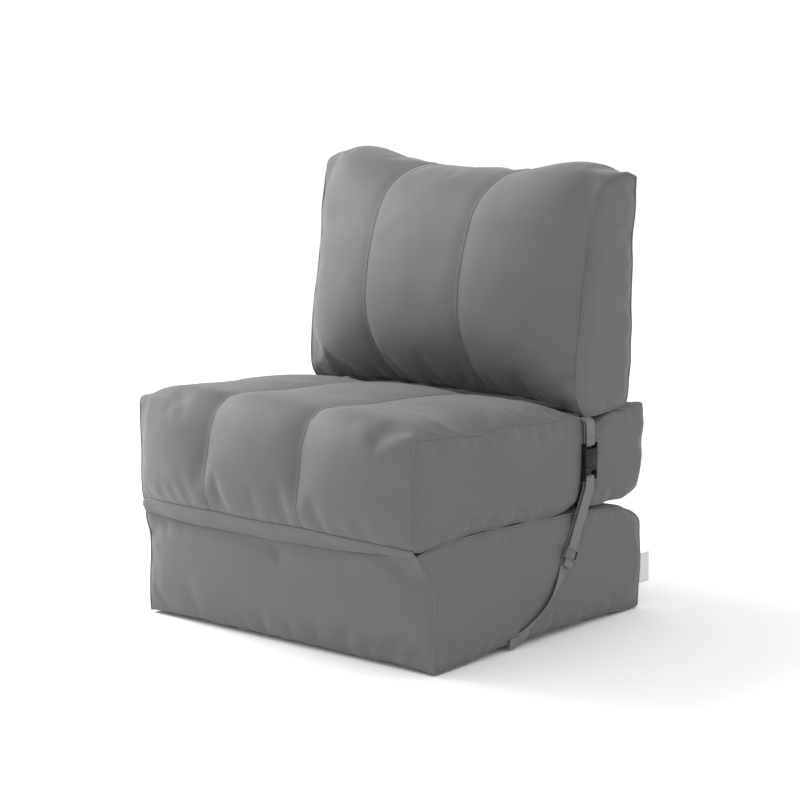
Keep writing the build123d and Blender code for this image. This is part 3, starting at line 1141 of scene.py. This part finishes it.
# %% Bands of webbing
WEBBING_HALF = 13
BAND_HALF_THICK = 0.8
STRAP_IN = 357
STRAP_OUT = 363
UV_UNIT = 30


def section():
    """The webbing's rounded outline, across and through."""
    edge = WEBBING_HALF - BAND_HALF_THICK
    round_edge = [(math.cos(a), math.sin(a)) for a in (-1.2, -0.5, 0.5, 1.2)]
    corner = [(edge + BAND_HALF_THICK * a, BAND_HALF_THICK * b) for a, b in round_edge]
    flat = [(edge * k, BAND_HALF_THICK) for k in (0.66, 0.33, 0, -0.33, -0.66)]
    near = corner + flat
    return near + [(-a, -b) for a, b in near]


def ribbon(name, line, across):
    """A band along a line of points, with its width direction given at each."""
    line, across = np.asarray(line, float), np.asarray(across, float)
    ahead = np.gradient(line, axis=0)
    ahead /= np.linalg.norm(ahead, axis=1)[:, None]
    across = across - ahead * np.sum(across * ahead, axis=1)[:, None]
    across /= np.linalg.norm(across, axis=1)[:, None]
    through = np.cross(ahead, across)
    ring = section()
    length = np.concatenate([[0], np.cumsum(np.linalg.norm(np.diff(line, axis=0), axis=1))])
    points = [p + a * w + t * d for p, a, t in zip(line, across, through) for w, d in ring]
    size = len(ring)
    faces, uv = [], []
    for r in range(len(line) - 1):
        for c in range(size):
            after = (c + 1) % size
            here, there = r * size, (r + 1) * size
            faces.append((here + c, here + after, there + after, there + c))
            wide = [ring[c][0], ring[after][0], ring[after][0], ring[c][0]]
            far = [length[r], length[r], length[r + 1], length[r + 1]]
            uv.append([(w / UV_UNIT + 0.5, f / UV_UNIT) for w, f in zip(wide, far)])
    for r, order in ((0, -1), (len(line) - 1, 1)):
        faces.append(tuple(r * size + c for c in range(size))[::order])
        uv.append([(0.5, length[r] / UV_UNIT)] * size)
    mesh = bpy.data.meshes.new(name)
    mesh.from_pydata([tuple(point) for point in metres(points)], [], faces)
    layer = mesh.uv_layers.new(name="webbing")
    for face, corners in zip(mesh.polygons, uv):
        for loop, place in zip(face.loop_indices, corners):
            layer.data[loop].uv = place
    mesh.materials.append(webbing.material)
    thing = bpy.data.objects.new(name, mesh)
    bpy.context.collection.objects.link(thing)
    tidy(thing)
    return thing


def half_turn(bar_y, bar_z, way):
    """Points of webbing that goes round a cross bar, from its inner to its outer layer."""
    angles = np.linspace(math.pi, 0, 9)
    middle, radius = (STRAP_IN + STRAP_OUT) / 2, (STRAP_OUT - STRAP_IN) / 2
    return [(middle + radius * math.cos(a), bar_y, bar_z + way * radius * math.sin(a)) for a in angles]


def tangent_across(line, towards):
    """Width directions that stay in the plane of the chair's side."""
    ahead = np.gradient(np.asarray(line, float), axis=0)
    width = np.stack([np.zeros(len(line)), ahead[:, 2], -ahead[:, 1]], 1)
    for i, direction in enumerate(width):
        if np.linalg.norm(direction) < 1e-6:
            width[i] = width[i - 1]
        elif np.dot(direction, towards) < 0:
            width[i] = -direction
    return width


STRAP_BAR = (441, 286)
TWIST = math.radians(38)
TWISTED_POINTS = 46
TAB_BAR = (441, 348)
TACK = {"Pitch": 0.0011, "Length": 0.0016, "Thickness": 0.0009}
TACK_HALF = 12
TACK_APART = 4.4
STRAP_TACK = (364.1, 380, 144)
STRAP_TACK_TILT = -26
TAB_TACK = (364.0, 441, 362)
TAB_TOP = 400
TAB_CLOSE = 2.4
SEAM_TUCK = 12
LEAN_IN = 2.25
FOOT_TUCK = 14
PATCH = [(352, 24), (352, 9), (351.2, 6.6), (349.8, 6), (348.6, 6.8), (348.2, 9), (348.2, 24)]
ROUTE = [(228, 12), (275, 36), (326, 66), (360, 106), (380, 146)]
ROUTE += [(405, 197), (430, 246), (440, 266), (441, 286)]
DOUBLED = [(441, 286), (440, 266), (430, 246), (405, 197), (372, 128)]


def strap_line():
    """The strap from its foot up to the buckle's bar, over it and back down to its sewn end."""
    up = smooth_line(ROUTE, 90, 3)
    rise = np.linspace(0, 1, len(up))
    inwards = LEAN_IN * ramp(rise, 0.45, 0) + FOOT_TUCK * ramp(rise, 0.1, 0) ** 2
    first = [(STRAP_IN - tuck, y, z) for tuck, (y, z) in zip(inwards, up)]
    down = smooth_line(DOUBLED, 48, 3)
    second = [(STRAP_OUT, y, z) for y, z in down]
    return first + half_turn(*STRAP_BAR, 1)[1:-1] + second


def tab_line():
    """The tab: down the inside, round the buckle's bar and back up to the same seam."""
    first, second = [], []
    for z in np.linspace(TAB_BAR[1] + 1, TAB_TOP, 18):
        sewn = SEAM_TUCK * ramp(z, TAB_TOP - 14, TAB_TOP) ** 2
        first.append((STRAP_IN - sewn, TAB_BAR[0], z - sewn * 0.3))
        closing = TAB_CLOSE * ((z - TAB_BAR[1] - 1) / (TAB_TOP - TAB_BAR[1] - 1)) ** 3
        second.append((STRAP_OUT - closing - sewn, TAB_BAR[0], z - sewn * 0.3))
    return first[::-1] + half_turn(*TAB_BAR, -1) + second[1:]


def twisted(line, width, side):
    """Turns the webbing part way on edge below the slide, as a strap under no load lies."""
    ahead = np.gradient(np.asarray(line, float), axis=0)
    ahead /= np.linalg.norm(ahead, axis=1)[:, None]
    result = []
    for i, (direction, forward) in enumerate(zip(width, ahead)):
        direction = direction / np.linalg.norm(direction)
        part = max(0.0, 1 - i / TWISTED_POINTS)
        angle = side * TWIST * math.sin(math.pi * part)
        result.append(direction * math.cos(angle) + np.cross(forward, direction) * math.sin(angle))
    return np.array(result)


def mirrored(line, side):
    """The line for the right-hand side, or its twin on the left."""
    return [(side * x, y, z) for x, y, z in line]


def bar_tack(name, side, place, tilt):
    """Two dense bars of stitches across the webbing, one above the other."""
    x, y, z = place
    rows = []
    ahead, up = math.cos(math.radians(tilt)), math.sin(math.radians(tilt))
    for offset in (-TACK_APART / 2, TACK_APART / 2):
        ends = []
        for w in np.linspace(-TACK_HALF, TACK_HALF, 14):
            ends.append((side * x, y + w * ahead - offset * up, z + w * up + offset * ahead))
        rows.append((metres(ends), False))
    return along(STITCHES, name, rows, TACK, thread.material)


for side, word in ((1, "right"), (-1, "left")):
    line = mirrored(strap_line(), side)
    width = twisted(line, tangent_across(line, (0, 1, 0)), side)
    strap = ribbon(f"strap_{word}_web", line, width)
    tack = bar_tack(f"strap_{word}_tack", side, STRAP_TACK, STRAP_TACK_TILT)
    strap = joined(f"strap_{word}_web", [strap, tack])
    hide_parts(f"strap_webbing_{word}")
    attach(strap, f"strap_{word}")
    line = mirrored(tab_line(), side)
    tab = ribbon(f"tab_{word}_web", line, [(0, 1, 0)] * len(line))
    tack = bar_tack(f"tab_{word}_tack", side, TAB_TACK, 0)
    tab = joined(f"tab_{word}_web", [tab, tack])
    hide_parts(f"strap_tab_{word}")
    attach(tab, "seat")
    line = [(side * x, 226, z) for x, z in PATCH]
    anchor = ribbon(f"anchor_{word}_web", line, [(0, 1, 0)] * len(line))
    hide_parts(f"strap_anchor_{word}")
    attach(anchor, "base")
print("webbing made")

# %% [markdown]
# ## Buckles, slides and zips
# These are moulded and cast parts, and the CAD model has their real shapes. What it lacks is the
# small round on every edge that catches the light. A copy of each is merged, its flat faces are
# cleaned up, and a bevel softens its edges.

# %% Moulded and cast parts
BUCKLE_ROUND = 0.0007
SMALL_ROUND = 0.0005
METAL_ROUND = 0.0003


def softened(node, body, slot, material, width):
    """A copy of a CAD node with its edges rounded, in place of the plain one."""
    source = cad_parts[node]
    mesh = source.data.copy()
    mesh.transform(source.matrix_world)
    thing = bpy.data.objects.new(node + "_soft", mesh)
    bpy.context.collection.objects.link(thing)
    mesh.materials.clear()
    mesh.materials.append(material)
    shape = bmesh.new()
    shape.from_mesh(mesh)
    bmesh.ops.remove_doubles(shape, verts=shape.verts, dist=2e-5)
    bmesh.ops.dissolve_limit(shape, angle_limit=math.radians(2), verts=shape.verts, edges=shape.edges)
    for face in shape.faces:
        face.smooth = True
        face.material_index = 0
    shape.to_mesh(mesh)
    shape.free()
    bevel = thing.modifiers.new("rounded", "BEVEL")
    bevel.width = width
    bevel.segments = 2
    bevel.limit_method = "ANGLE"
    bevel.angle_limit = math.radians(40)
    bevel.harden_normals = True
    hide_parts(node)
    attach(thing, body)
    return thing


for word in ("right", "left"):
    softened(f"buckle_socket_{word}", "seat", "buckle_plastic", acetal, BUCKLE_ROUND)
    softened(f"buckle_plug_{word}", f"strap_{word}", "buckle_plastic", acetal, BUCKLE_ROUND)
    softened(f"strap_adjuster_{word}", f"adjuster_{word}", "slide_plastic", slide_plastic, SMALL_ROUND)
    for end in ("front", "rear"):
        prong = f"prong_{end}_{word}"
        softened(f"buckle_{prong}", prong, "buckle_plastic", acetal, SMALL_ROUND)
print("buckles made")

# %% [markdown]
# The zips close the rear of each cover. A zip has two woven tapes, a row of teeth on each, and a
# slider. The tapes are thin sheets with the row's cord along one edge; the teeth are a node tree,
# with one row half a pitch along from the other so that they mesh.

# %% Zips
TOOTH = {"Pitch": 0.0025, "Length": 0.0013, "Thickness": 0.0017}
TEETH_OUT = 0.0010
TEETH_APART = 0.0012
TEETH_END = 0.013


def zip_set(name, body):
    """A zip's tapes and teeth, its stops and its slider."""
    low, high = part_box(name + "_zip_tape")
    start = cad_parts[name + "_zip_tape"]
    shape = bpy.data.objects.new(name + "_zip_tapes", start.data.copy())
    shape.data.transform(start.matrix_world)
    shape.data.materials.clear()
    shape.data.materials.append(tape.material)
    bpy.context.collection.objects.link(shape)
    for face in shape.data.polygons:
        face.material_index = 0
    tidy(shape, False)
    middle = (low + high) / 2
    lean = math.atan2(high.y - low.y - ZIP_THICK, high.z - low.z)
    rows = []
    for way, shift in ((1, 0), (-1, TOOTH["Pitch"] / 2)):
        y = middle.y + TEETH_OUT + way * TEETH_APART * math.sin(lean)
        z = middle.z + way * TEETH_APART
        line = [(low.x + TEETH_END + shift, y, z), (high.x - TEETH_END, y, z)]
        rows.append((line, False))
    teeth = along(TEETH, name + "_zip_teeth", rows, TOOTH, nickel.material)
    shape = joined(name + "_zip_tapes", [shape, teeth])
    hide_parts(name + "_zip_tape")
    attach(shape, body)
    metal = ("zip_metal", nickel.material, METAL_ROUND)
    stops = softened(name + "_zip_stops", body, *metal)
    slider = softened(name + "_zip_slider", name + "_zip_pull", *metal)
    return [shape, stops, slider]


zips = {name: zip_set(name, BODY[name]) for name in covers}
print("zips", list(zips))

# %% [markdown]
# ## The tag
# A short tag of white satin is folded over and caught in the base's rear side seam. It is blank.

# %% Tag
TAG_SEAM = (346, 631, 47)
TAG_OUT = 34
TAG_TALL = 58
TAG_CURL = 1.6


def tag_point(part, height):
    """A point on the folded tag: out along one leaf, round the fold and back along the other."""
    out = TAG_OUT * (1 - abs(2 * part - 1))
    leaf = 0.55 * (1 if part < 0.5 else -1)
    leaf = leaf * min(1, out / 3 + 0.2) * min(1, (TAG_OUT - out) / 1.2)
    curl = TAG_CURL * (out / TAG_OUT) ** 2
    seam_x, seam_y, low = TAG_SEAM
    return (seam_x + leaf + curl, seam_y + out, low + TAG_TALL * height)


tag_rows = []
for height in np.linspace(0, 1, 13):
    tag_rows.append(metres([tag_point(part, height) for part in np.linspace(0, 1, 41)]))
tag = piece("blank_tag", np.concatenate(tag_rows), grid(13, 41), satin_tag.material)
give_wall(tag, 0.0004)
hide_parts("side_label")
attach(tag, "base")
print("tag made")

# %% [markdown]
# ## Where the filling gives way
# Unfolded, the chair lies on what was the top of its seat and the front of its backrest. The filling
# gives way there, and both cushions flatten against the floor. Here every piece of them, and the
# backrest's zip tapes, teeth and stops, only gets a mesh of its own.

# %% Own meshes for the seat and backrest pieces
for thing in padded_pieces["backrest"] + zips["backrest"][:2]:
    metres((0, 520, 600))
    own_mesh(thing)
for thing in padded_pieces["seat"]:
    metres((0, 200, 224))
    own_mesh(thing)

# %% [markdown]
# ## Floor and light
# A pale floor that runs out of sight, a bright even surround and three large soft lights: one high on
# the left, which makes the tops of the cushions the lightest part, a low one for the front faces, and
# a weak one on the right to open the shadows.

# %% Floor, surround and lights
floor_finish = Finish("floor", {"Specular IOR Level": 0.1})
speck = floor_finish.cloud(floor_finish.place, 3)
floor_finish.feed(Base_Color=floor_finish.mix(speck, (0.93, 0.93, 0.93, 1), (0.95, 0.95, 0.95, 1)))
floor_finish.feed(Roughness=0.85 + speck * 0.05)
FLOOR = 30
corners = [(-FLOOR, -FLOOR, 0), (FLOOR, -FLOOR, 0), (FLOOR, FLOOR, 0), (-FLOOR, FLOOR, 0)]
floor = piece("floor", corners, [(0, 1, 2, 3)], floor_finish.material)

world = bpy.data.worlds.new("surround")
world.use_nodes = True
background = world.node_tree.nodes["Background"]
background.inputs["Color"].default_value = (1, 1, 1, 1)
background.inputs["Strength"].default_value = 1.08
bpy.context.scene.world = world


def soft_light(name, place, size, power):
    """A large square light that faces the middle of the chair."""
    data = bpy.data.lights.new(name, "AREA")
    data.size = size
    data.energy = power
    light = bpy.data.objects.new(name, data)
    light.location = place
    light.rotation_euler = (Vector((0, 0, 0.4)) - Vector(place)).to_track_quat("-Z", "Y").to_euler()
    bpy.context.collection.objects.link(light)


soft_light("key", (-3.2, -0.9, 2.6), 1.8, 150)
soft_light("fill", (2.8, -2.6, 1.8), 2.0, 8)
soft_light("low", (-3.0, -2.6, 1.0), 1.8, 24)
bpy.context.scene.view_settings.view_transform = "Standard"
print("stage set")
